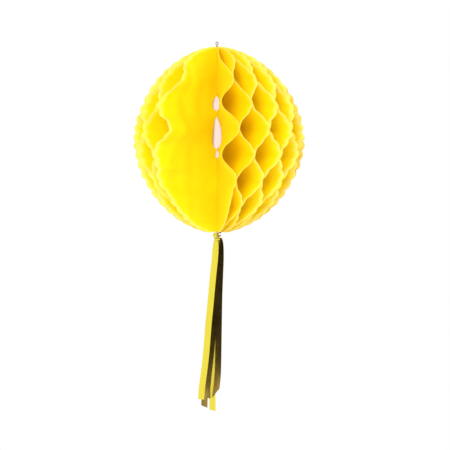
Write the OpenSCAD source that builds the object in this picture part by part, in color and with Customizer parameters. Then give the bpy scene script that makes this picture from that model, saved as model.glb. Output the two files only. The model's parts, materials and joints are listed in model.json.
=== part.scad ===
// Hanging paper honeycomb ball with a ribbon tassel.
// Half-disc sheets of tissue stand round a vertical spine and are glued to each other at
// staggered heights, so they open like a fan into diamond cells. An open wedge is left
// between the first and the last sheet. Flat ribbons hang from a knot under the ball.
// Z is up, the origin is the top of the hanging eye, and -Y is the front.

/* [Ball] */
// Height of the ball from pole to pole
ball_height = 150; // [100:1:200]
// Width of the ball at its middle
ball_width = 138; // [100:0.5:180]
// Roundness of the sheets' curved edge: 2 is an ellipse, less is more pointed at the poles
edge_roundness = 1.82; // [1.75:0.01:2]
// How far the ball's middle stands off the spine towards +X
side_shift = 1.7; // [0:0.1:2]
// Direction of the first sheet, counted from the front towards +X
first_sheet_angle = 9.8; // [0:0.1:30]
// Angle that the opened fan of sheets covers
fan_angle = 305.2; // [280:0.1:320]
// Thickness of one tissue sheet
tissue_thickness = 0.12; // [0.08:0.01:0.2]
// Gap left between two sheets where they are glued
glue_gap = 0.1; // [0.05:0.01:0.15]

/* [Honeycomb] */
// Height between one row of glue lines and the next
glue_pitch = 20.45; // [16:0.05:25]
// Height of the first row of glue lines over the ball's middle
glue_start = 6.8; // [0:0.1:20]
// How much the wave between two glue lines is flattened at its crests
wave_flatness = 1.12; // [1.02:0.01:1.3]
// How much further the last sheet's free side stands out than a glued one
free_swing = 1.75; // [1:0.05:1.9]

/* [Scalloped edge] */
// Scallops along the curved edge of one sheet
scallops = 25; // [20:1:30]
// Depth of a scallop
scallop_depth = 1.6; // [0.5:0.1:2.5]

/* [Spine and hanging eye] */
// Radius at which the inner sheets begin
inner_radius = 4.2; // [4.2:0.1:5]
// Radius at which the first and the last sheet begin
end_sheet_radius = 1.7; // [1.6:0.1:2]
// Width of the card strip along the spine
card_width = 7; // [4:0.1:7]
// Thickness of the card strip
card_thickness = 0.35; // [0.2:0.05:0.35]
// Radius of the spine thread
thread_radius = 0.4; // [0.3:0.05:0.4]
// Height of the hanging eye over the ball
eye_height = 4; // [3.4:0.1:5]

/* [Tassel] */
// Width of a ribbon
ribbon_width = 5; // [4:0.1:5.5]
// Thickness of a ribbon
ribbon_thickness = 0.3; // [0.2:0.05:0.4]
// Distance between one ribbon and the one behind it
ribbon_layer = 0.7; // [0.6:0.05:0.9]
// Outer radius of the curled foil loop at the knot
foil_loop_radius = 1.7; // [1.5:0.05:1.75]

/* [Hidden] */
SHEETS = 29;                       // sheets in the fan
LAST = SHEETS - 1;
STEP = fan_angle / LAST;           // angle from one sheet to the next
TOP = -eye_height;                 // the ball's upper pole
MIDDLE = TOP - ball_height / 2;
BOTTOM = TOP - ball_height;        // the ball's lower pole
TOP_ANGLE = 6.5;                   // angle left out at the upper pole, where a sheet is narrow
BOTTOM_ANGLE = 9;                  // angle left out at the lower pole, to leave room for the knot
ROWS = 2 * scallops;               // rows of points from pole to pole
CARD_FRONT = 0.8;                  // front face of the card strip, from the spine's axis
EYE_THREAD = 0.35;                 // radius of the thread in the hanging eye
KNOT_RADIUS = 0.8;
BOTTOM_KNOT_RADIUS = 0.9;
KNOT_HEIGHT = BOTTOM;              // middle of the bottom knot, which the tassel swings about
NECK_WRAP_TOP = BOTTOM - 3.9;
NECK_WRAP_HEIGHT = 1.5;
NECK_WRAP_RADIUS = 2.6;
TAIL_TOP = NECK_WRAP_TOP - NECK_WRAP_HEIGHT - 0.7;

SHEET_NAMES = [for (i = [0:LAST]) str("tissue_sheet_", i < 10 ? "0" : "", i)];

TISSUE = [1, 0.86, 0.05];
CARD = [0.95, 0.93, 0.9];
THREAD = [0.45, 0.38, 0.2];
YELLOW_RIBBON = [0.95, 0.85, 0.15];
GOLD_FOIL = [0.45, 0.34, 0.12];

// Middle lines of the ribbons below the knot, as [x, height under the hanging eye].
YELLOW_1 = [[-0.9, 161], [-1.8, 175], [-3.2, 188], [-4.4, 201], [-5.6, 214], [-6.8, 226],
            [-7.8, 239], [-8.9, 252], [-10.4, 265], [-12.1, 278], [-12.7, 287]];
YELLOW_2 = [[0.8, 161], [0.4, 175], [0, 188], [-0.4, 201], [-0.9, 214], [-1.6, 226],
            [-2.3, 239], [-2.9, 252], [-3.5, 265], [-3.9, 278], [-3.7, 288], [-3.6, 296]];
FOIL_1 = [[2.2, 161], [1.8, 175], [0.8, 188], [-0.4, 201], [-1.6, 214], [-2.8, 226],
          [-4, 239], [-5.2, 252], [-6.6, 265], [-7.8, 278], [-7.8, 286]];
FOIL_2 = [[3, 161], [2.9, 175], [2.4, 188], [1.9, 201], [1.6, 214], [1.4, 226],
          [1.2, 239], [1, 252], [0.7, 265], [0, 274], [-1, 282]];
FOIL_3 = [[1.2, 161], [0, 175], [-1.4, 188], [-2.8, 201], [-4.2, 214], [-5.4, 226],
          [-6.6, 239], [-7.6, 252], [-8.6, 265], [-9.4, 278], [-10, 286], [-10.2, 293]];

// Moves a shape round the spine, from the front towards +X.
module turned(angle) rotate([0, 0, angle - 90]) children();

// A sheet's swing at a height, from -1 to 1: full over the glue lines, with round crests.
function wave(z) =
    max(-1, min(1, wave_flatness * cos(180 * (z - MIDDLE - glue_start) / glue_pitch)));

// The first sheet's swing. It is free on its outer side, and under its lowest glue line it
// stays near its neighbour.
function first_wave(z) =
    z < MIDDLE + glue_start - 2 * glue_pitch ? max(0.7, wave(z)) : wave(z);

// The last sheet's swing. It is free on its outer side: it stands out round the ball's middle
// and lies back on its neighbour under it.
function last_wave(z) =
    z < MIDDLE + glue_start - glue_pitch ? -1 - 0.9 * max(0, wave(z))
    : wave(z) * (wave(z) > 0 ? free_swing : 1);

// The swing of sheet i at a height. Neighbours swing opposite ways.
function sheet_wave(i, z) =
    i == 0 ? first_wave(z) : i == LAST ? last_wave(z) : (i % 2 == 0 ? 1 : -1) * wave(z);

// Angle of a sheet's middle from its own direction, so that glued sheets lie face to face.
function swing(r) = STEP / 2 - asin((tissue_thickness + glue_gap) / 2 / r);

// One point of sheet i at a radius and height, on the side given as -1 or 1.
function sheet_point(i, r, z, side) =
    let (a = sheet_wave(i, z) * swing(r), t = side * tissue_thickness / 2)
    [r * cos(a) - t * sin(a), r * sin(a) + t * cos(a), z];

// A closed strip through rings of corner points, with a cap at both ends. Its front and its
// back are split along the same diagonals, so that it keeps its thickness where it twists.
module strip(rings) {
    n = len(rings[0]);
    rows = len(rings);
    sides = [for (j = [0:rows - 2], k = [0:n - 1])
        let (a = j * n + k, b = j * n + (k + 1) % n)
        each k < n / 2 ? [[a, b, b + n], [a, b + n, a + n]]
                       : [[a, b, a + n], [b, b + n, a + n]]];
    caps = [[for (k = [n - 1:-1:0]) k], [for (k = [0:n - 1]) (rows - 1) * n + k]];
    polyhedron(points = [for (ring = rings) each ring], faces = concat(caps, sides));
}

// A sine or cosine bent from an ellipse's to the sheets' more pointed edge.
function flattened(x) = pow(x, 2 / edge_roundness);

// One half-disc of tissue with a scalloped edge, pleated by its glue lines.
module tissue_sheet(i) {
    inner = i == 0 || i == LAST ? end_sheet_radius : inner_radius;
    direction = first_sheet_angle + i * STEP;
    reach = ball_width / 2 + side_shift * sin(direction);
    color(TISSUE) turned(direction)
        strip([for (j = [0:ROWS])
            let (angle = TOP_ANGLE + j * (180 - TOP_ANGLE - BOTTOM_ANGLE) / ROWS,
                 z = MIDDLE + ball_height / 2 * sign(cos(angle)) * flattened(abs(cos(angle))),
                 notch = j % 2 == 0 ? scallop_depth : 0,
                 outer = (reach - notch) * flattened(sin(angle)))
            [sheet_point(i, inner, z, -1), sheet_point(i, inner, z, 1),
             sheet_point(i, outer, z, 1), sheet_point(i, outer, z, -1)]]);
}

// Flat strip of white card that stiffens the spine and faces the front.
module spine_card() {
    margin = 4;
    color(CARD) translate([-card_width / 2, -CARD_FRONT, BOTTOM + margin])
        cube([card_width, card_thickness, ball_height - 2 * margin]);
}

// Thread that runs down the spine from the top knot to the bottom knot.
module spine_thread() {
    top = TOP + 0.7 - 2 * KNOT_RADIUS;
    bottom = KNOT_HEIGHT + BOTTOM_KNOT_RADIUS;
    color(THREAD) translate([0, 0, bottom]) cylinder(r = thread_radius, h = top - bottom);
}

// Small bight of thread that the ball hangs by.
module hanging_eye() {
    outer = (eye_height - 0.7) / 2;
    color(THREAD) translate([0, 0, -outer]) rotate([90, 0, 0])
        rotate_extrude() translate([outer - EYE_THREAD, 0]) circle(r = EYE_THREAD);
}

// Knot that closes the hanging eye at the upper pole.
module top_knot() {
    color(THREAD) translate([0, 0, TOP + 0.7 - KNOT_RADIUS]) sphere(r = KNOT_RADIUS);
}

// Knot that stops the spine thread under the lower pole.
module bottom_knot() {
    color(THREAD) translate([0, 0, KNOT_HEIGHT]) sphere(r = BOTTOM_KNOT_RADIUS);
}

// Ring of thread round the bottom knot that carries the tassel.
module tassel_tie() {
    ring = 1.45;
    color(THREAD) translate([0, 0, KNOT_HEIGHT])
        rotate_extrude() translate([ring, 0]) circle(r = 0.3);
}

// Middles of the ribbons, folded over the tie and bunched on top of the wrap.
module ribbon_fold() {
    color(YELLOW_RIBBON) translate([0, 0, NECK_WRAP_TOP]) cylinder(r = 1.7, h = 2.2);
}

// Curled loop of gold foil ribbon before the knot, seen end on from the front.
module foil_loop() {
    wall = 0.3;
    length = 3;
    color(GOLD_FOIL)
        translate([1.9, -2 - length / 2, KNOT_HEIGHT - 1])
            rotate([90, 0, 0]) difference() {
                cylinder(r = foil_loop_radius, h = length, center = true);
                cylinder(r = foil_loop_radius - wall, h = length + 1, center = true);
            }
}

// Tight knot of yellow ribbon at the front left, a rounded barrel.
module yellow_knot() {
    knot_height = 4.6;
    core = 1.2;
    corner = 0.6;
    color(YELLOW_RIBBON) translate([-3, -2.2, NECK_WRAP_TOP])
        rotate_extrude() hull() {
            translate([0, 0.2]) square([core, knot_height - 0.4]);
            translate([core, corner + 0.1]) circle(r = corner);
            translate([core, knot_height - corner - 0.1]) circle(r = corner);
        }
}

// Turn of yellow ribbon wound round the bunch to hold it together.
module neck_wrap() {
    color(YELLOW_RIBBON) translate([0, 0, NECK_WRAP_TOP - NECK_WRAP_HEIGHT])
        cylinder(r = NECK_WRAP_RADIUS, h = NECK_WRAP_HEIGHT);
}

// Corners of a ribbon's section at a point of its route, with rounded edges.
function ribbon_ring(x, y, z) =
    let (w = ribbon_width / 2, t = ribbon_thickness / 2, c = 0.15)
    [for (p = [[-w, -c * t], [-w + c, -t], [w - c, -t], [w, -c * t],
               [w, c * t], [w - c, t], [-w + c, t], [-w, c * t]]) [x + p[0], y + p[1], z]];

// A ribbon along a route, in a layer counted from the front.
module ribbon(route, layer) {
    start = [route[0][0], -TAIL_TOP];
    strip([for (p = concat([start], [for (q = route) if (q[1] > start[1] + 1) q]))
        ribbon_ring(p[0], layer * ribbon_layer, -p[1])]);
}

module yellow_tail_1() color(YELLOW_RIBBON) ribbon(YELLOW_1, -2);
module yellow_tail_2() color(YELLOW_RIBBON) ribbon(YELLOW_2, 1);
module foil_tail_1() color(GOLD_FOIL) ribbon(FOIL_1, 0);
module foil_tail_2() color(GOLD_FOIL) ribbon(FOIL_2, -1);
module foil_tail_3() color(GOLD_FOIL) ribbon(FOIL_3, 2);

for (i = [0:LAST]) tissue_sheet(i);
spine_card();
spine_thread();
hanging_eye();
top_knot();
bottom_knot();
tassel_tie();
ribbon_fold();
foil_loop();
yellow_knot();
neck_wrap();
yellow_tail_1();
yellow_tail_2();
foil_tail_1();
foil_tail_2();
foil_tail_3();
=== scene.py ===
import json
import math

import bpy
import numpy as np
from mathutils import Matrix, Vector, noise


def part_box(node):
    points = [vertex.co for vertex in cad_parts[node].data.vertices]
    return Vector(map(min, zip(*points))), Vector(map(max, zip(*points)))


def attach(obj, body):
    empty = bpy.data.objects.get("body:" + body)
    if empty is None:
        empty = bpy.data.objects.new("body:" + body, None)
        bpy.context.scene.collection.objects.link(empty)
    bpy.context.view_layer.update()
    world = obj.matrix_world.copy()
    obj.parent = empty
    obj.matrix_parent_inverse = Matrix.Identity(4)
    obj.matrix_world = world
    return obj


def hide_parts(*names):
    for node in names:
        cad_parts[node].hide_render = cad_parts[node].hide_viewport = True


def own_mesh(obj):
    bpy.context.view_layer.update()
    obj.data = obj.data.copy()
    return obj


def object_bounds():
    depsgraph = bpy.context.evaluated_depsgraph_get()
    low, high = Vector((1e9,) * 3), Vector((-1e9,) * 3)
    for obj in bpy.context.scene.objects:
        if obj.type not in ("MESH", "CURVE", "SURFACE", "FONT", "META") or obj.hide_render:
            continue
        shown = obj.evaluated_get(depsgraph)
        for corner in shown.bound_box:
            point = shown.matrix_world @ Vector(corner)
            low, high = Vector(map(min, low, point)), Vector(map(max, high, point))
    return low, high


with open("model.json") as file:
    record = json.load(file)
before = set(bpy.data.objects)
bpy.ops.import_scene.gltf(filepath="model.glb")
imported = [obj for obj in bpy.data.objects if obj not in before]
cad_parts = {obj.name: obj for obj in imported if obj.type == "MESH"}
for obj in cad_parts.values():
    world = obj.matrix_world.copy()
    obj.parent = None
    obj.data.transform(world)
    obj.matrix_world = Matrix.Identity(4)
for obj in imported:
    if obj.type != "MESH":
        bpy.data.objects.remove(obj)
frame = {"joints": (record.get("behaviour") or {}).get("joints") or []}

cad_box = [list(v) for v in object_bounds()]


# Studio
# The ball hangs over a pale floor under an even, bright, soft light. The key light stands in
# front of the open wedge, so that neither of its sides shades the other. A black flag stands
# behind the lens and darkens what the foil mirrors.
CAMERA_BACK = 1.8
VIEW_WIDTH = 0.361
VIEW_CENTRE = (0.0064, -0.1472)
SENSOR = 36.0
FLOOR_HALF = 1.6
FLOOR_DROP = 0.25
FLAG_HALF = (2.4, 2.0)
FLAG_BEHIND = 0.3
FLAG_DROP = 0.1
BALL_CENTRE = (0, 0, -0.08)
# Each lamp's name, place, width in metres and power in watts.
LAMPS = (("key", (-0.35, -1.5, 0.25), 0.7, 20.0), ("fill", (1.2, -1.0, 0.3), 0.9, 3.5))

lens = bpy.data.cameras.new("long_lens")
lens.sensor_width = SENSOR
lens.lens = SENSOR * CAMERA_BACK / VIEW_WIDTH
camera = bpy.data.objects.new("camera", lens)
camera.location = (VIEW_CENTRE[0], -CAMERA_BACK, VIEW_CENTRE[1])
camera.rotation_euler = (math.pi / 2, 0, 0)
bpy.context.scene.collection.objects.link(camera)
bpy.context.scene.camera = camera
bpy.context.scene.view_settings.view_transform = "Standard"


def piece(name, points, faces, smooth=True):
    """A new mesh object in the scene, in metres."""
    mesh = bpy.data.meshes.new(name)
    mesh.from_pydata([tuple(p) for p in points], [], [tuple(f) for f in faces])
    mesh.polygons.foreach_set("use_smooth", [smooth] * len(mesh.polygons))
    mesh.update()
    made = bpy.data.objects.new(name, mesh)
    bpy.context.scene.collection.objects.link(made)
    return made


def plain_material(name, colour, roughness):
    """A material with its Principled shader, for more nodes to be added to."""
    made = bpy.data.materials.new(name)
    made.use_nodes = True
    shader = made.node_tree.nodes["Principled BSDF"]
    shader.inputs["Base Color"].default_value = (*colour, 1)
    shader.inputs["Roughness"].default_value = roughness
    return made, made.node_tree.nodes, made.node_tree.links, shader


def studio():
    """The floor, the black flag, the even sky and the two lamps."""
    corners = ((-1, -1), (1, -1), (1, 1), (-1, 1))
    floor_height = cad_box[0][2] - FLOOR_DROP
    floor = piece("floor", [(x * FLOOR_HALF, y * FLOOR_HALF, floor_height) for x, y in corners],
                  [(0, 1, 2, 3)], smooth=False)
    floor.data.materials.append(plain_material("pale_floor", (0.93, 0.93, 0.93), 0.9)[0])

    flag_y, flag_z = -CAMERA_BACK - FLAG_BEHIND, VIEW_CENTRE[1] - FLAG_DROP
    flag = piece("black_flag", [(x * FLAG_HALF[0], flag_y, flag_z + z * FLAG_HALF[1]) for x, z in corners],
                 [(0, 1, 2, 3)], smooth=False)
    flag.data.materials.append(plain_material("black_cloth", (0.01, 0.01, 0.01), 1.0)[0])
    flag.visible_camera = False
    flag.visible_diffuse = False
    flag.visible_shadow = False

    world = bpy.data.worlds.new("studio_world")
    world.use_nodes = True
    world.node_tree.nodes["Background"].inputs["Color"].default_value = (1, 1, 1, 1)
    world.node_tree.nodes["Background"].inputs["Strength"].default_value = 1.0
    bpy.context.scene.world = world

    for name, place, size, power in LAMPS:
        light = bpy.data.lights.new(name, "AREA")
        light.size = size
        light.energy = power
        lamp = bpy.data.objects.new(name, light)
        lamp.location = place
        aim = Vector(BALL_CENTRE) - Vector(place)
        lamp.rotation_euler = aim.to_track_quat("-Z", "Y").to_euler()
        lamp.visible_glossy = False
        bpy.context.scene.collection.objects.link(lamp)


studio()


# Spine card
# A flat strip of white card that runs down the spine and keeps the ball straight. It is glued
# behind the first and the last sheet, and shows through the gaps where they bow away from it.
CARD_CURL = 0.00008
CARD_CURLS = 9


def fibre_group():
    """Paper fibres: a height for bump and a mask for colour, at a given scale."""
    group = bpy.data.node_groups.new("paper_fibres", "ShaderNodeTree")
    group.interface.new_socket("Vector", in_out="INPUT", socket_type="NodeSocketVector")
    group.interface.new_socket("Scale", in_out="INPUT", socket_type="NodeSocketFloat")
    group.interface.new_socket("Height", in_out="OUTPUT", socket_type="NodeSocketFloat")
    group.interface.new_socket("Mottle", in_out="OUTPUT", socket_type="NodeSocketFloat")
    nodes, links = group.nodes, group.links
    inside = nodes.new("NodeGroupInput")
    outside = nodes.new("NodeGroupOutput")
    stretched = nodes.new("ShaderNodeMapping")
    stretched.inputs["Scale"].default_value = (0.25, 1, 1)
    stretched.inputs["Rotation"].default_value = (0, 0, 0.5)
    links.new(inside.outputs["Vector"], stretched.inputs["Vector"])
    fibres = nodes.new("ShaderNodeTexNoise")
    fibres.inputs["Detail"].default_value = 5
    fibres.inputs["Distortion"].default_value = 1.2
    links.new(stretched.outputs["Vector"], fibres.inputs["Vector"])
    links.new(inside.outputs["Scale"], fibres.inputs["Scale"])
    broad_scale = nodes.new("ShaderNodeMath")
    broad_scale.operation = "MULTIPLY"
    broad_scale.inputs[1].default_value = 0.12
    links.new(inside.outputs["Scale"], broad_scale.inputs[0])
    broad = nodes.new("ShaderNodeTexNoise")
    broad.inputs["Detail"].default_value = 3
    links.new(inside.outputs["Vector"], broad.inputs["Vector"])
    links.new(broad_scale.outputs["Value"], broad.inputs["Scale"])
    links.new(fibres.outputs["Fac"], outside.inputs["Height"])
    links.new(broad.outputs["Fac"], outside.inputs["Mottle"])
    return group


PAPER_FIBRES = fibre_group()


def add_fibres(nodes, links, coordinates, scale):
    """The fibre group, placed in a material."""
    made = nodes.new("ShaderNodeGroup")
    made.node_tree = PAPER_FIBRES
    made.inputs["Scale"].default_value = scale
    links.new(coordinates, made.inputs["Vector"])
    return made


def colour_mix(nodes, links, factor, first, second):
    """A colour between two, where factor is a socket and each colour is a socket or a tuple."""
    made = nodes.new("ShaderNodeMix")
    made.data_type = "RGBA"
    links.new(factor, made.inputs["Factor"])
    for socket, value in ((made.inputs[6], first), (made.inputs[7], second)):
        if isinstance(value, tuple):
            socket.default_value = (*value, 1)
        else:
            links.new(value, socket)
    return made.outputs[2]


def add_bump(nodes, links, shader, height, strength, distance):
    """Bump from a height socket, on a shader's normal."""
    made = nodes.new("ShaderNodeBump")
    made.inputs["Strength"].default_value = strength
    made.inputs["Distance"].default_value = distance
    links.new(height, made.inputs["Height"])
    links.new(made.outputs["Normal"], shader.inputs["Normal"])
    return made


def white_card():
    """Smooth pulp board with faint fibres."""
    made, nodes, links, shader = plain_material("white_card", (0.9, 0.86, 0.85), 0.7)
    place = nodes.new("ShaderNodeTexCoord").outputs["Object"]
    fibres = add_fibres(nodes, links, place, 1500)
    links.new(colour_mix(nodes, links, fibres.outputs["Mottle"],
                         (0.64, 0.56, 0.62), (0.60, 0.53, 0.59)), shader.inputs["Base Color"])
    add_bump(nodes, links, shader, fibres.outputs["Height"], 0.3, 0.0001)
    return made


def spine_card():
    """The card as a closed strip, its two faces, its two long sides and its two ends."""
    low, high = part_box("spine_card")
    across, down = 8, 90
    points, faces = [], []
    for front in (0, 1):
        for j in range(down + 1):
            for k in range(across + 1):
                s, t = k / across, j / down
                z = low.z + (high.z - low.z) * t
                bow = CARD_CURL * math.sin(CARD_CURLS * t * math.pi) * math.sin(s * math.pi)
                points.append((low.x + (high.x - low.x) * s,
                               (low.y if front else high.y) - bow, z))
    wide, layer = across + 1, (across + 1) * (down + 1)
    for j in range(down):
        for k in range(across):
            a = j * wide + k
            faces.append((a, a + wide, a + wide + 1, a + 1))
            faces.append((a + layer, a + 1 + layer, a + wide + 1 + layer, a + wide + layer))
    for j in range(down):
        a, b = j * wide, j * wide + across
        faces.append((a, a + layer, a + wide + layer, a + wide))
        faces.append((b, b + wide, b + wide + layer, b + layer))
    for k in range(across):
        a, b = k, down * wide + k
        faces.append((a, a + 1, a + 1 + layer, a + layer))
        faces.append((b, b + layer, b + 1 + layer, b + 1))
    made = piece("spine_card_strip", points, faces, smooth=False)
    made.data.materials.append(white_card())
    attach(made, "spine")
    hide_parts("spine_card")


spine_card()


# Spine thread, knots and hanging eye
# One length of strong two-ply thread. It runs down the spine between the sheets, ends in a knot
# at each pole, and its upper bight is the eye that the ball hangs by.
THREAD = 0.00032
SPINE_LAY = 0.0016
KNOT_LAY = 0.0014
KNOT_SHARE = 0.72
EYE_WIDTH = 0.72
EYE_WANDER = 0.0001


def tube(points, radius, sides=10, closed=False):
    """Points and faces of a tube along a line of points, with its frame carried smoothly along."""
    line = np.array(points, float)
    count = len(line)
    if closed:
        ahead = np.roll(line, -1, 0) - np.roll(line, 1, 0)
    else:
        ahead = np.gradient(line, axis=0)
    ahead /= np.linalg.norm(ahead, axis=1)[:, None]
    side = np.cross(ahead[0], (0.31, 0.52, 0.8))
    rings = []
    for n in range(count):
        side = side - ahead[n] * side.dot(ahead[n])
        side /= np.linalg.norm(side)
        up = np.cross(ahead[n], side)
        turns = np.arange(sides) * 2 * math.pi / sides
        wide = radius[n] if np.ndim(radius) else radius
        rings.append(line[n] + wide * (np.outer(np.cos(turns), side) + np.outer(np.sin(turns), up)))
    faces = []
    for n in range(count if closed else count - 1):
        a, b = n * sides, (n + 1) % count * sides
        faces += [(a + k, a + (k + 1) % sides, b + (k + 1) % sides, b + k) for k in range(sides)]
    if not closed:
        faces += [tuple(range(sides))[::-1], tuple(range((count - 1) * sides, count * sides))]
    return np.concatenate(rings), faces


def joined(parts):
    """Several (points, faces) as one."""
    points, faces, first = [], [], 0
    for p, f in parts:
        points.append(np.array(p, float))
        faces += [tuple(k + first for k in face) for face in f]
        first += len(p)
    return np.concatenate(points), faces


def two_ply(points, radius, lay, closed=False, sides=8):
    """Two strands laid round each other along a line: lay is the length of one turn."""
    line = np.array(points, float)
    steps = np.linalg.norm(np.diff(line, axis=0), axis=1)
    along = np.concatenate([[0], np.cumsum(steps)])
    total = along[-1] + (np.linalg.norm(line[0] - line[-1]) if closed else 0)
    turns = round(total / lay) if closed else total / lay
    ahead = np.gradient(line, axis=0)
    if closed:
        ahead = np.roll(line, -1, 0) - np.roll(line, 1, 0)
    ahead /= np.linalg.norm(ahead, axis=1)[:, None]
    side = np.cross(ahead[0], (0.31, 0.52, 0.8))
    frames = []
    for n in range(len(line)):
        side = side - ahead[n] * side.dot(ahead[n])
        side /= np.linalg.norm(side)
        frames.append((side, np.cross(ahead[n], side)))
    strands = []
    for phase in (0, math.pi):
        angle = 2 * math.pi * turns * along / total + phase
        offset = [math.cos(a) * f[0] + math.sin(a) * f[1] for a, f in zip(angle, frames)]
        strands.append(tube(line + np.array(offset) * radius * 0.5, radius * 0.55, sides, closed))
    return joined(strands)


def twisted_thread():
    """Brown polyester thread with fine hairs."""
    made, nodes, links, shader = plain_material("twisted_thread", (0.09, 0.07, 0.03), 0.6)
    place = nodes.new("ShaderNodeTexCoord").outputs["Object"]
    hairs = nodes.new("ShaderNodeTexNoise")
    hairs.inputs["Scale"].default_value = 9000
    hairs.inputs["Detail"].default_value = 3
    links.new(place, hairs.inputs["Vector"])
    links.new(colour_mix(nodes, links, hairs.outputs["Fac"],
                         (0.05, 0.035, 0.012), (0.15, 0.11, 0.04)), shader.inputs["Base Color"])
    shader.inputs["Sheen Weight"].default_value = 0.3
    add_bump(nodes, links, shader, hairs.outputs["Fac"], 0.6, 0.00005)
    return made


THREAD_MATERIAL = twisted_thread()


def thread_piece(name, shape, body, node):
    """A piece of thread in place of one of the frame's nodes."""
    made = piece(name, *shape)
    made.data.materials.append(THREAD_MATERIAL)
    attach(made, body)
    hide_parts(node)


def small_knot(centre, size, thread):
    """A pulled-tight overhand knot, as a closed trefoil of thread."""
    line = []
    for n in range(96):
        t = 2 * math.pi * n / 96
        line.append((centre[0] + size * (math.sin(t) + 2 * math.sin(2 * t)) / 3,
                     centre[1] + size * (math.cos(t) - 2 * math.cos(2 * t)) / 3,
                     centre[2] - size * math.sin(3 * t) / 1.6))
    return two_ply(line, thread, KNOT_LAY, closed=True)


def spine():
    """The strand in the spine, the eye that the ball hangs by, and the knot at each pole."""
    low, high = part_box("spine_thread")
    strand = [(0, 0, low.z + (high.z - low.z) * n / 400) for n in range(401)]
    thread_piece("spine_thread_strand", two_ply(strand, THREAD, SPINE_LAY, sides=6),
                 "spine", "spine_thread")

    low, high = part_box("hanging_eye")
    centre, half = (low + high) / 2, (high.z - low.z) / 2 - THREAD
    loop = []
    for n in range(64):
        t = 2 * math.pi * n / 64
        narrow = 1 - 0.35 * (1 + math.cos(t)) / 2 * 0.6
        loop.append((half * EYE_WIDTH * math.sin(t) * narrow, EYE_WANDER * math.sin(2 * t),
                     centre.z - half * math.cos(t)))
    thread_piece("hanging_eye_loop", two_ply(loop, THREAD, KNOT_LAY, closed=True),
                 "spine", "hanging_eye")

    for node in ("top_knot", "bottom_knot"):
        low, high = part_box(node)
        size = (high.z - low.z) / 2
        thread_piece(node + "_turns", small_knot((low + high) / 2, size * KNOT_SHARE, THREAD),
                     "spine", node)


spine()


# Tissue sheets
# Half discs of thin yellow tissue, die-cut in one stack with a scalloped edge. Stripes of glue
# at staggered heights join each sheet to the next, so that the opened fan stands in diamond
# cells. The first and the last sheet are free on their outer side and bow off the spine card.
BALL_HALF = 0.075
BALL_RADIUS = 0.069
SIDE_SHIFT = 0.0017
ROUNDNESS = 1.82
SHEETS = 29
FIRST_ANGLE = math.radians(9.8)
FAN_ANGLE = math.radians(305.2)
STEP = FAN_ANGLE / (SHEETS - 1)
GLUE_PITCH = 0.02045
GLUE_START = 0.0068
GLUE_HALF_GAP = 0.00004
FREE_SWING = 1.75
FIRST_FREE_SWING = 1.15
SCALLOPS = 25
SCALLOP_DEPTH = 0.0017
POLE_ANGLE = math.radians(3)
LOWER_POLE_ANGLE = math.radians(7)
ROWS_PER_SCALLOP = 8
COLUMNS = 28
MARGIN_SHARES = (0.0, 0.007, 0.014, 0.023, 0.036)
MARGIN = 0.0013
SPINE_RADIUS = 0.0040
POLE_RADIUS = 0.0011
END_RADIUS = 0.0017
MARGIN_BEND = 0.92
INNER_HEIGHT = 0.985
WRINKLE = 0.0008
CREASE = 0.00012
LAST_SHEET_PUSH = 0.002
# Where the inner margins of the first and last sheet meet, in front of the spine card, and how
# far out each is held there.
SEAM_ACROSS = -0.0004
FIRST_SEAM, LAST_SEAM = -0.00105, -0.0011
FIRST_HOLD, LAST_HOLD = 0.009, 0.004
# Gaps between the first and last sheet at the spine: lower and upper height under the upper
# pole, how far the last sheet stands back, and how far the first sheet bows aside.
SPINE_GAPS = ((-0.0515, -0.0397, 0.0022, 0.0042), (-0.0820, -0.0560, 0.0030, 0.0046),
              (-0.0896, -0.0832, 0.0006, 0.0034))
# Radius at which the sheets behind the bowed first sheet begin, how far past each gap they keep
# clear of it, and the bow at which they stand fully clear.
BEHIND_FIRST = {1: 0.0145, 2: 0.0095, 3: 0.0072, 4: 0.0058, 5: 0.005}
GAP_REACH = 0.003
FULL_BOW = 0.0015
SHUT_BOW = 0.0008
CARD_END = 0.004
# Size across and down the sheet of its broad wrinkles, its fine creases and the last sheet's folds.
WRINKLE_SIZE = (0.024, 0.017)
CREASE_SIZE = (0.011, 0.0035)
LAST_FOLD_SIZE = (0.009, 0.05)

FOLD = next(j for j in frame["joints"] if j["name"] == "fold")
BALL_MIDDLE = FOLD["pos_m"][2]
UPPER_POLE = BALL_MIDDLE + BALL_HALF
CARD_LOW, CARD_HIGH = (v.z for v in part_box("spine_card"))


def wave(z):
    """A sheet's swing at a height, from -1 to 1, with flat crests along the glue."""
    s = np.cos(math.pi * (z - BALL_MIDDLE - GLUE_START) / GLUE_PITCH)
    return 1.1 * s - 0.1 * s ** 3


def sheet_wave(i, z):
    """A sheet's swing. Neighbours swing opposite ways, and the end sheets' free sides stand out."""
    swing = wave(z)
    if i == 0:
        low = z < BALL_MIDDLE + GLUE_START - 2 * GLUE_PITCH
        stood_out = np.where(swing < 0, FIRST_FREE_SWING * swing, swing)
        return np.where(low, np.maximum(0.7, swing), stood_out)
    if i == SHEETS - 1:
        low = z < BALL_MIDDLE + GLUE_START - GLUE_PITCH
        stood_out = np.where(swing > 0, FREE_SWING * swing, swing)
        return np.where(low, -1 - 0.9 * np.maximum(0, swing), stood_out)
    return swing if i % 2 == 0 else -swing


def flattened(x):
    """A sine or cosine bent from an ellipse's to the sheets' more pointed edge."""
    return np.sign(x) * np.abs(x) ** (2 / ROUNDNESS)


def bow(z, side):
    """How far the sheet on one side of the spine gaps is off the spine at a height."""
    off = np.zeros_like(z)
    for low, high, last, first in SPINE_GAPS:
        t = np.clip((z - UPPER_POLE - low) / (high - low), 0, 1)
        off = np.maximum(off, np.sin(math.pi * t ** 0.65) ** 0.9 * (last if side == "last" else first))
    return off


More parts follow.
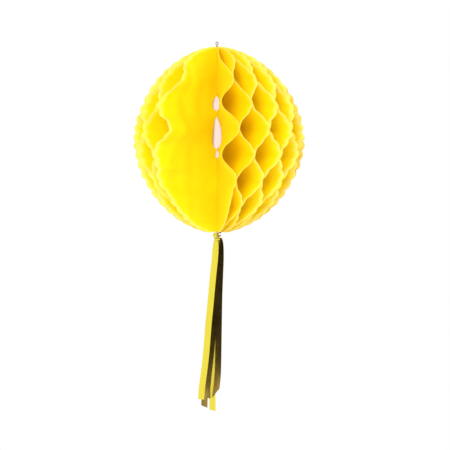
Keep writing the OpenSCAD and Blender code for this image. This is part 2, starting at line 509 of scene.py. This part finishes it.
def ripple(r, z, seed, size_r, size_z):
    """Smooth noise over a flat sheet, from -1 to 1."""
    return np.array([[noise.noise(Vector((a / size_r, b / size_z, seed)))
                      for a, b in zip(ra, rb)] for ra, rb in zip(r, z)])


def sheet_grid(i):
    """For a sheet's grid of points: radius, place along and across the sheet, height, the sheet's
    width there, and the share of that width."""
    rows = SCALLOPS * ROWS_PER_SCALLOP
    v = np.linspace(0, 1, rows + 1)[:, None]
    outward = 1 - (1 - np.linspace(0, 1, COLUMNS + 1)[2:]) ** 1.35
    u = np.concatenate([MARGIN_SHARES, outward])[None, :]
    angle = POLE_ANGLE + v * (math.pi - POLE_ANGLE - LOWER_POLE_ANGLE)
    notch = SCALLOP_DEPTH * (1 - np.abs(np.sin(math.pi * SCALLOPS * v))) ** 0.9
    reach = BALL_RADIUS + SIDE_SHIFT * math.sin(FIRST_ANGLE + i * STEP)
    slant = np.stack([np.sin(angle) / reach, np.cos(angle) / BALL_HALF])
    slant /= np.linalg.norm(slant, axis=0)
    outer_r = reach * flattened(np.sin(angle)) - notch * slant[0] * np.sin(angle)
    outer_z = BALL_MIDDLE + BALL_HALF * flattened(np.cos(angle)) - notch * slant[1] * np.sin(angle)
    inner_z = BALL_MIDDLE + INNER_HEIGHT * BALL_HALF * flattened(np.cos(angle))

    room = 0 * inner_z
    to_card = np.minimum(CARD_HIGH - inner_z, inner_z - CARD_LOW) / CARD_END + 1
    inner_r = POLE_RADIUS + (SPINE_RADIUS - POLE_RADIUS) * np.clip(to_card, 0, 1)
    if i in BEHIND_FIRST:
        beside = np.maximum(bow(inner_z - GAP_REACH, "first"), bow(inner_z + GAP_REACH, "first"))
        room = np.clip(np.maximum(beside, bow(inner_z, "first")) / FULL_BOW, 0, 1)
        inner_r = np.maximum(inner_r, SPINE_RADIUS + (BEHIND_FIRST[i] - SPINE_RADIUS) * room)
    if i in (0, SHEETS - 1):
        inner_r = np.minimum(inner_r, END_RADIUS)
    inner_r = np.minimum(inner_r, outer_r * 0.6)
    if i == SHEETS - 1:
        inner_r = inner_r + bow(inner_z, "last") / math.sin(math.pi / 4)
    r = inner_r + (outer_r - inner_r) * u
    z = inner_z + (outer_z - inner_z) * u

    swing = sheet_wave(i, z)
    half = STEP / 2 - np.arcsin(np.clip(GLUE_HALF_GAP / r, 0, 1))
    theta = swing * half
    if 0 < i < SHEETS - 1:
        # The glued inner margin bends over to the next sheet's, and closes the ball's core.
        bent = np.exp(-((r - inner_r) / MARGIN) ** 2) * (1 - room)
        theta = theta * (1 - bent) - MARGIN_BEND * STEP * bent
    share = np.clip(r / BALL_RADIUS, 0, 1)
    free = (1 - np.clip(np.abs(swing), 0, 1) ** 4) * share ** 1.5
    offset = free * (WRINKLE * 2 * ripple(r, z, 7.3 * i + 0.4, *WRINKLE_SIZE)
                     + CREASE * 2 * ripple(r, z, 3.1 * i + 9.7, *CREASE_SIZE))
    if i == SHEETS - 1:
        # The last sheet is only ever pushed away from its neighbour, so it cannot pass through it.
        offset = np.abs(offset) + LAST_SHEET_PUSH * share * (1 + ripple(r, z, 4.4, *LAST_FOLD_SIZE))
    x, y = r * np.cos(theta), r * np.sin(theta) + offset
    return r, x, y, z, outer_r - inner_r, u


def sheet_points(i):
    """A sheet's points in the row frame, its flat coordinates, its distance from the rim in
    centimetres, and its glue share."""
    r, x, y, z, span, u = sheet_grid(i)
    turn = FIRST_ANGLE + i * STEP - math.pi / 2
    px = x * math.cos(turn) - y * math.sin(turn)
    py = x * math.sin(turn) + y * math.cos(turn)
    if i in (0, SHEETS - 1):
        hold = np.exp(-(r - r[:, :1]) / (FIRST_HOLD if i == 0 else LAST_HOLD))
        seam_x = SEAM_ACROSS + (bow(z[:, :1], "first") if i == 0 else 0)
        if i == 0:
            near = np.clip(r[:, :1] / END_RADIUS, 0, 1)
            px = px + hold * (seam_x - px[:, :1]) * near
            py = py + hold * (FIRST_SEAM - py[:, :1]) * near
        else:
            shut = 1 - np.clip(bow(z[:, :1], "last") / SHUT_BOW, 0, 1)
            px = px + hold * (seam_x - px[:, :1]) * shut
            py = py + hold * (LAST_SEAM - py[:, :1]) * shut
    flat = np.stack([r, z - BALL_MIDDLE], -1)
    return np.stack([px, py, z], -1), flat, (1 - u) * span * 100, wave(z)


def tissue_paper():
    """Dyed tissue that glows where light comes through, with a painted highlight that makes it paler
    along its cut edge in place of the light caught there, and a little deeper in colour along the glue."""
    made, nodes, links, shader = plain_material("yellow_tissue", (0.96, 0.76, 0.01), 0.8)
    flat = nodes.new("ShaderNodeUVMap")
    flat.uv_map = "flat"
    shares = nodes.new("ShaderNodeUVMap")
    shares.uv_map = "shares"
    split = nodes.new("ShaderNodeSeparateXYZ")
    links.new(shares.outputs["UV"], split.inputs["Vector"])
    fibres = add_fibres(nodes, links, flat.outputs["UV"], 90)

    # Painted highlight: the colour turns pale over the last half centimetre to the rim. It stands in for
    # light that the cut edge catches and that shines through the single layer there.
    rim = nodes.new("ShaderNodeMapRange")
    rim.interpolation_type = "SMOOTHSTEP"
    rim.inputs["From Min"].default_value = 0.55
    rim.inputs["From Max"].default_value = 0.05
    links.new(split.outputs["X"], rim.inputs["Value"])
    glue = nodes.new("ShaderNodeMapRange")
    glue.interpolation_type = "SMOOTHSTEP"
    glue.inputs["From Min"].default_value = 0.975
    glue.inputs["From Max"].default_value = 1.0
    glue.inputs["To Max"].default_value = 0.15
    links.new(split.outputs["Y"], glue.inputs["Value"])

    body = colour_mix(nodes, links, fibres.outputs["Mottle"], (0.96, 0.70, 0.001), (0.95, 0.77, 0.002))
    glued = colour_mix(nodes, links, glue.outputs["Result"], body, (0.94, 0.68, 0.001))
    # The pale rim colour is a painted highlight. It also tints the translucent light below.
    rim_lit_colour = colour_mix(nodes, links, rim.outputs["Result"], glued, (0.97, 0.79, 0.15))
    links.new(rim_lit_colour, shader.inputs["Base Color"])
    shader.inputs["Specular IOR Level"].default_value = 0.25
    bump = add_bump(nodes, links, shader, fibres.outputs["Height"], 0.25, 0.00025)

    through = nodes.new("ShaderNodeBsdfTranslucent")
    links.new(rim_lit_colour, through.inputs["Color"])
    links.new(bump.outputs["Normal"], through.inputs["Normal"])
    mix = nodes.new("ShaderNodeMixShader")
    mix.inputs["Fac"].default_value = 0.3
    links.new(shader.outputs["BSDF"], mix.inputs[1])
    links.new(through.outputs["BSDF"], mix.inputs[2])
    links.new(mix.outputs["Shader"], nodes["Material Output"].inputs["Surface"])
    return made


def tissue_sheets():
    """Every leaf as one open sheet, which turns with its own body."""
    tissue = tissue_paper()
    for i in range(SHEETS):
        points, flat, edge, swing = sheet_points(i)
        rows, columns = points.shape[0], points.shape[1]
        faces = [(j * columns + k, (j + 1) * columns + k,
                  (j + 1) * columns + k + 1, j * columns + k + 1)
                 for j in range(rows - 1) for k in range(columns - 1)]
        made = piece(f"tissue_leaf_{i:02d}", points.reshape(-1, 3), faces)
        corner = np.array([k for f in faces for k in f])
        for name, values in (("flat", flat * 10),
                             ("shares", np.stack([edge, np.abs(swing)], -1))):
            layer = made.data.uv_layers.new(name=name)
            layer.data.foreach_set("uv", values.reshape(-1, 2)[corner].ravel())
        made.data.materials.append(tissue)
        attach(made, "spine" if i == 0 else f"sheet_{i:02d}")
        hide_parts(f"tissue_sheet_{i:02d}")
        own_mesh(made)


tissue_sheets()


# Knot and neck of the tassel
# The ribbons are folded in half over a ring of thread that hangs on the spine's lower knot. A
# turn of yellow ribbon binds them, tied in a tight knot at the left, and one end of foil curls
# up at the right.
RIBBON_THICKNESS = 0.00012
TIE_THREAD = 0.00028
TIE_LAY = 0.0013
BAND_ROOM = 0.0002
# Each folded ribbon's place to the side and its rise over the thread ring. The middle one is foil.
FOLDED_RIBBONS = ((-0.0009, 0.0028), (0.0, 0.0033), (0.0007, 0.003))
PLAIN_RISE = 0.0028
FOLDED_WIDTH = 0.0027
CURL_TURN = (0.7, 5.7)
CURL_CLOSING = 0.12
CURL_LIFT = 0.0004
CURL_THICKNESS = 0.0007
KNOT_INWARD = 0.0019
KNOT_SPREAD = 1.15
WRAP_TURN = 2.6 * math.pi
WRAP_TIGHTENING = 0.00016
WRAP_SLANT = 0.00018


def strap(line, across, width, thickness, end_slant=0.0, columns=6):
    """A flat band along a line. across is its sideways direction at each point, and width may
    change along it. end_slant shears the last cut."""
    line = np.array(line, float)
    across = np.array(across, float)
    across /= np.linalg.norm(across, axis=1)[:, None]
    ahead = np.gradient(line, axis=0)
    ahead /= np.linalg.norm(ahead, axis=1)[:, None]
    normal = np.cross(ahead, across)
    normal /= np.linalg.norm(normal, axis=1)[:, None]
    count = len(line)
    wide = np.broadcast_to(width, (count,)) / 2
    late = np.clip((np.arange(count) - count + 8) / 7, 0, 1)
    grid = []
    for face in (1, -1):
        for n in range(count):
            for k in range(columns + 1):
                s = 2 * k / columns - 1
                grid.append(line[n] + across[n] * wide[n] * s + normal[n] * face * thickness / 2
                            + ahead[n] * end_slant * s * late[n])
    row, layer = columns + 1, (columns + 1) * count
    faces = []
    for n in range(count - 1):
        for k in range(columns):
            a = n * row + k
            faces.append((a, a + 1, a + row + 1, a + row))
            faces.append((a + layer, a + row + layer, a + row + 1 + layer, a + 1 + layer))
        for a, flip in ((n * row, False), (n * row + columns, True)):
            quad = (a, a + row, a + row + layer, a + layer)
            faces.append(quad[::-1] if flip else quad)
    for a, flip in ((0, True), ((count - 1) * row, False)):
        for k in range(columns):
            quad = (a + k, a + k + 1, a + k + 1 + layer, a + k + layer)
            faces.append(quad if not flip else quad[::-1])
    return np.array(grid), faces


def streak_group():
    """Fine streaks along a drawn film ribbon, and a slow cloudiness over it."""
    group = bpy.data.node_groups.new("ribbon_streaks", "ShaderNodeTree")
    group.interface.new_socket("Vector", in_out="INPUT", socket_type="NodeSocketVector")
    group.interface.new_socket("Scale", in_out="INPUT", socket_type="NodeSocketFloat")
    group.interface.new_socket("Streaks", in_out="OUTPUT", socket_type="NodeSocketFloat")
    group.interface.new_socket("Cloud", in_out="OUTPUT", socket_type="NodeSocketFloat")
    nodes, links = group.nodes, group.links
    inside = nodes.new("NodeGroupInput")
    outside = nodes.new("NodeGroupOutput")
    stretched = nodes.new("ShaderNodeMapping")
    stretched.inputs["Scale"].default_value = (1, 1, 0.03)
    links.new(inside.outputs["Vector"], stretched.inputs["Vector"])
    streaks = nodes.new("ShaderNodeTexNoise")
    streaks.inputs["Detail"].default_value = 4
    links.new(stretched.outputs["Vector"], streaks.inputs["Vector"])
    links.new(inside.outputs["Scale"], streaks.inputs["Scale"])
    cloud = nodes.new("ShaderNodeTexNoise")
    cloud.inputs["Scale"].default_value = 60
    cloud.inputs["Detail"].default_value = 2
    links.new(inside.outputs["Vector"], cloud.inputs["Vector"])
    links.new(streaks.outputs["Fac"], outside.inputs["Streaks"])
    links.new(cloud.outputs["Fac"], outside.inputs["Cloud"])
    return group


RIBBON_STREAKS = streak_group()


def ribbon_material(name, dark, light, roughness, metallic, streak_scale, bump):
    """Drawn film or foil, streaked along its length and unevenly glossy."""
    made, nodes, links, shader = plain_material(name, dark, roughness)
    shader.inputs["Metallic"].default_value = metallic
    streaks = nodes.new("ShaderNodeGroup")
    streaks.node_tree = RIBBON_STREAKS
    streaks.inputs["Scale"].default_value = streak_scale
    links.new(nodes.new("ShaderNodeTexCoord").outputs["Object"], streaks.inputs["Vector"])
    links.new(colour_mix(nodes, links, streaks.outputs["Streaks"], dark, light),
              shader.inputs["Base Color"])
    rough = nodes.new("ShaderNodeMapRange")
    rough.inputs["To Min"].default_value = roughness * 0.7
    rough.inputs["To Max"].default_value = roughness * 1.3
    links.new(streaks.outputs["Cloud"], rough.inputs["Value"])
    links.new(rough.outputs["Result"], shader.inputs["Roughness"])
    add_bump(nodes, links, shader, streaks.outputs["Streaks"], bump, 0.00005)
    return made


YELLOW_FILM = ribbon_material("yellow_film", (0.45, 0.38, 0.014), (0.51, 0.43, 0.024),
                              0.5, 0.0, 1500, 0.3)
GOLD_FOIL = ribbon_material("gold_foil", (0.22, 0.13, 0.02), (0.36, 0.24, 0.06),
                            0.22, 1.0, 1200, 0.35)
FOIL_BACK = ribbon_material("foil_back", (0.20, 0.11, 0.006), (0.30, 0.18, 0.015),
                            0.55, 0.0, 1200, 0.35)


def curled_band(name, line, across, width, thickness, material, node, body):
    """A flat band along a line that takes the place of one of the tassel's plain pieces."""
    made = piece(name, *strap(line, across, width, thickness))
    made.data.set_sharp_from_angle(angle=0.9)
    made.data.materials.append(material)
    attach(made, body)
    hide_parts(node)


def tie_ring():
    """The ring of thread that the ribbons are folded over."""
    low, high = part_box("tassel_tie")
    centre, ring = (low + high) / 2, (high.x - low.x) / 2 - 0.0003
    loop = [(centre.x + ring * math.cos(t), centre.y + ring * math.sin(t),
             centre.z + 0.00012 * math.sin(3 * t))
            for t in np.linspace(0, 2 * math.pi, 72, endpoint=False)]
    thread_piece("tassel_tie_ring", two_ply(loop, TIE_THREAD, TIE_LAY, closed=True),
                 "tassel_tie", "tassel_tie")


def folded_ribbons():
    """The middles of the ribbons, side by side over the ring."""
    low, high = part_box("ribbon_fold")
    t = np.linspace(0, math.pi, 26)
    middle = (low + high) / 2
    half = (high.x - low.x) / 2 - BAND_ROOM
    for k, (side, rise) in enumerate(FOLDED_RIBBONS):
        line = np.stack([middle.x + side + 0 * t, middle.y + half * np.cos(t),
                         low.z + (high.z - low.z + 0.0003) * (rise / PLAIN_RISE) * np.sin(t)], 1)
        foil = k == 1
        curled_band(f"folded_ribbon_{k + 1}", line, np.tile((1.0, 0.1 * k, 0.0), (26, 1)),
                    FOLDED_WIDTH, RIBBON_THICKNESS, GOLD_FOIL if foil else YELLOW_FILM,
                    "ribbon_fold", "tassel_neck")


def foil_curl():
    """The end of foil that curls up at the right, seen edge on, with its dull back outwards."""
    low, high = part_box("foil_loop")
    centre, radius = (low + high) / 2, (high.x - low.x) / 2 - BAND_ROOM
    t = np.linspace(*CURL_TURN, 60)
    shrink = 1 - CURL_CLOSING * np.linspace(0, 1, 60)
    line = np.stack([centre.x + radius * shrink * np.cos(t), centre.y + 0.0004 * np.sin(t),
                     centre.z + CURL_LIFT + radius * shrink * np.sin(t)], 1)
    curled_band("foil_curl", line, np.tile((0.1, 1.0, 0.15), (60, 1)), high.y - low.y,
                CURL_THICKNESS, FOIL_BACK, "foil_loop", "tassel_neck")


def pulled_knot():
    """The tight knot in the yellow ribbon, plump and puckered where the film is drawn together."""
    low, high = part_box("yellow_knot")
    rows, sides = 30, 36
    points, faces = [], []
    for j in range(rows + 1):
        v = j / rows
        for k in range(sides):
            a = 2 * math.pi * k / sides
            plump = math.sin(math.pi * (0.06 + 0.88 * v)) ** 0.45
            fold = 1 + 0.09 * math.sin(5 * a + 7 * v) + 0.06 * math.sin(11 * v * math.pi + 2 * a)
            wide = (high.x - low.x) / 2 * plump * fold
            points.append(((low.x + high.x) / 2 + KNOT_INWARD + KNOT_SPREAD * wide * math.cos(a),
                           (low.y + high.y) / 2 + wide * math.sin(a),
                           low.z + (high.z - low.z + BAND_ROOM) * v))
    for j in range(rows):
        for k in range(sides):
            a, b = j * sides + k, j * sides + (k + 1) % sides
            faces.append((a, b, b + sides, a + sides))
    faces += [tuple(range(sides))[::-1], tuple(range(rows * sides, (rows + 1) * sides))]
    made = piece("pulled_knot", points, faces)
    made.data.materials.append(YELLOW_FILM)
    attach(made, "tassel_neck")
    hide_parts("yellow_knot")


def neck_band():
    """The turn of yellow ribbon that binds the neck."""
    low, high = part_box("neck_wrap")
    t = np.linspace(0, WRAP_TURN, 80)
    radius = (high.x - low.x) / 2 - BAND_ROOM - WRAP_TIGHTENING * t / t[-1]
    line = np.stack([radius * np.cos(t - 1.2), radius * np.sin(t - 1.2),
                     (low.z + high.z) / 2 + WRAP_SLANT * np.sin(t * 0.7)], 1)
    curled_band("neck_band", line, np.tile((0.0, 0.0, 1.0), (80, 1)), (high.z - low.z) * 0.95,
                RIBBON_THICKNESS, YELLOW_FILM, "neck_wrap", "tassel_neck")


tie_ring()
folded_ribbons()
foil_curl()
pulled_knot()
neck_band()


# Tassel ribbons
# Two yellow film ribbons and three of gold foil, each 5 mm wide and cut across at its end.
# They leave the bound neck below the knot and hang side by side with a slight curl.
RIBBON_WIDTH = 0.005
RIBBON_LAYER = 0.0007
RIBBON_RISE = 0.0035
MM = 0.001
TAIL_CURL = 0.0007
TAIL_RIPPLE = 0.03
NECK_PINCH = 0.62
PINCH_LENGTH = 0.0035
# Where along a ribbon its shoulder turns towards the light, and over what share of it.
SHOULDER_PLACE, SHOULDER_SPREAD = 0.06, 0.05
# Middle lines of the ribbons below the knot: across and down from the hanging eye, in millimetres.
YELLOW_1 = ((-0.9, 161), (-1.8, 175), (-3.2, 188), (-4.4, 201), (-5.6, 214), (-6.8, 226),
            (-7.8, 239), (-8.9, 252), (-10.4, 265), (-12.1, 278), (-12.7, 287))
YELLOW_2 = ((0.8, 161), (0.4, 175), (0, 188), (-0.4, 201), (-0.9, 214), (-1.6, 226),
            (-2.3, 239), (-2.9, 252), (-3.5, 265), (-3.9, 278), (-3.7, 288), (-3.6, 296))
FOIL_1 = ((2.2, 161), (1.8, 175), (0.8, 188), (-0.4, 201), (-1.6, 214), (-2.8, 226),
          (-4, 239), (-5.2, 252), (-6.6, 265), (-7.8, 278), (-7.8, 286))
FOIL_2 = ((3, 161), (2.9, 175), (2.4, 188), (1.9, 201), (1.6, 214), (1.4, 226),
          (1.2, 239), (1, 252), (0.7, 265), (0, 274), (-1, 282))
FOIL_3 = ((1.2, 161), (0, 175), (-1.4, 188), (-2.8, 201), (-4.2, 214), (-5.4, 226),
          (-6.6, 239), (-7.6, 252), (-8.6, 265), (-9.4, 278), (-10, 286), (-10.2, 293))


def smooth_line(points, count):
    """A Catmull-Rom curve through points, at even steps of its parameter."""
    p = np.array(points, float)
    p = np.concatenate([[2 * p[0] - p[1]], p, [2 * p[-1] - p[-2]]])
    out = []
    for s in np.linspace(0, len(p) - 3 - 1e-9, count):
        k, t = int(s), s % 1
        a, b, c, d = p[k:k + 4]
        out.append(0.5 * (2 * b + (c - a) * t + (2 * a - 5 * b + 4 * c - d) * t ** 2
                          + (3 * b - a - 3 * c + d) * t ** 3))
    return np.array(out)


def tail(name, route, layer, twist, end_slant, material, shoulder=0.0):
    """One hanging ribbon: its route, its depth, how its face turns and ripples on the way down."""
    depth = layer * RIBBON_LAYER
    top = route[0]
    rise = [(top[0] * MM, depth, -top[1] * MM + RIBBON_RISE)]
    line = smooth_line(rise + [(x * MM, depth, -z * MM) for x, z in route], 90)
    t = np.linspace(0, 1, len(line))
    line[:, 1] += TAIL_CURL * np.sin(2.2 * math.pi * t) * t
    turn = twist[0] + (twist[1] - twist[0]) * t + TAIL_RIPPLE * np.sin(5 * math.pi * t + 2 * layer)
    turn += shoulder * np.exp(-((t - SHOULDER_PLACE) / SHOULDER_SPREAD) ** 2)
    ahead = np.gradient(line, axis=0)
    ahead /= np.linalg.norm(ahead, axis=1)[:, None]
    flat = np.stack([np.cos(turn), np.sin(turn), 0 * turn], 1)
    across = flat - ahead * (flat * ahead).sum(1)[:, None]
    width = RIBBON_WIDTH * (1 - NECK_PINCH * np.exp(-(line[0, 2] - line[:, 2]) / PINCH_LENGTH))
    made = piece(name + "_ribbon", *strap(line, across, width, RIBBON_THICKNESS, end_slant))
    made.data.set_sharp_from_angle(angle=0.6)
    made.data.materials.append(material)
    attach(made, name)
    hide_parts(name)


tail("yellow_tail_1", YELLOW_1, -2, (0.07, -0.06), 0.0, YELLOW_FILM)
tail("yellow_tail_2", YELLOW_2, 1, (0.0, 0.05), 0.0006, YELLOW_FILM)
tail("foil_tail_1", FOIL_1, 0, (0.05, -0.06), 0.0003, GOLD_FOIL)
tail("foil_tail_2", FOIL_2, -1, (-0.04, 0.05), -0.004, GOLD_FOIL, shoulder=0.45)
tail("foil_tail_3", FOIL_3, 2, (0.04, 0.1), 0.001, GOLD_FOIL)
